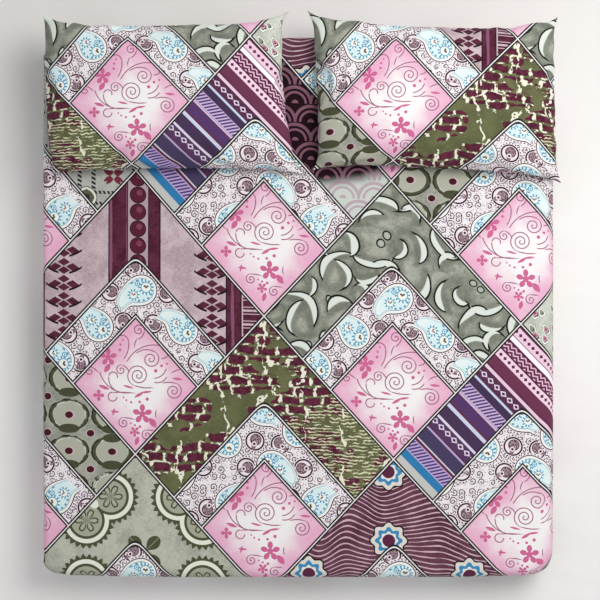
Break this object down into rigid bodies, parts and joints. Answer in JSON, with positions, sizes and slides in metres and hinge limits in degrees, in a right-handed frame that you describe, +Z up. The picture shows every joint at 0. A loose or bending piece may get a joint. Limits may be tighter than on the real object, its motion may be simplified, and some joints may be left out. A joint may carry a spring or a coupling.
{
  "type": "bed sheet set on a mattress",
  "caption": "Fitted sheet drawn over a king-size mattress, with a pair of filled pillows in matching cases lying at its head.",
  "frame": {"origin": "middle of the whole set's footprint, on the surface that it stands on", "axes": "+Z up, +Y towards the head of the bed where the pillows lie, +X to the right seen from above with the head away"},
  "size_m": [1.9508, 2.1356, 0.3469],
  "materials": {
    "mattress_ticking": "plain pale woven ticking, matte",
    "sheet_cloth": "matte woven cotton, printed with a diamond patchwork of pink, paisley, sage and plum patches",
    "pillowcase_cloth": "matte woven cotton, printed with the same diamond patchwork"
  },
  "bodies": {
    "root": {"mattress": "mattress_ticking", "fitted_sheet": "sheet_cloth", "pillow_left": "pillowcase_cloth", "pillow_right": "pillowcase_cloth"}
  },
  "joints": []
}
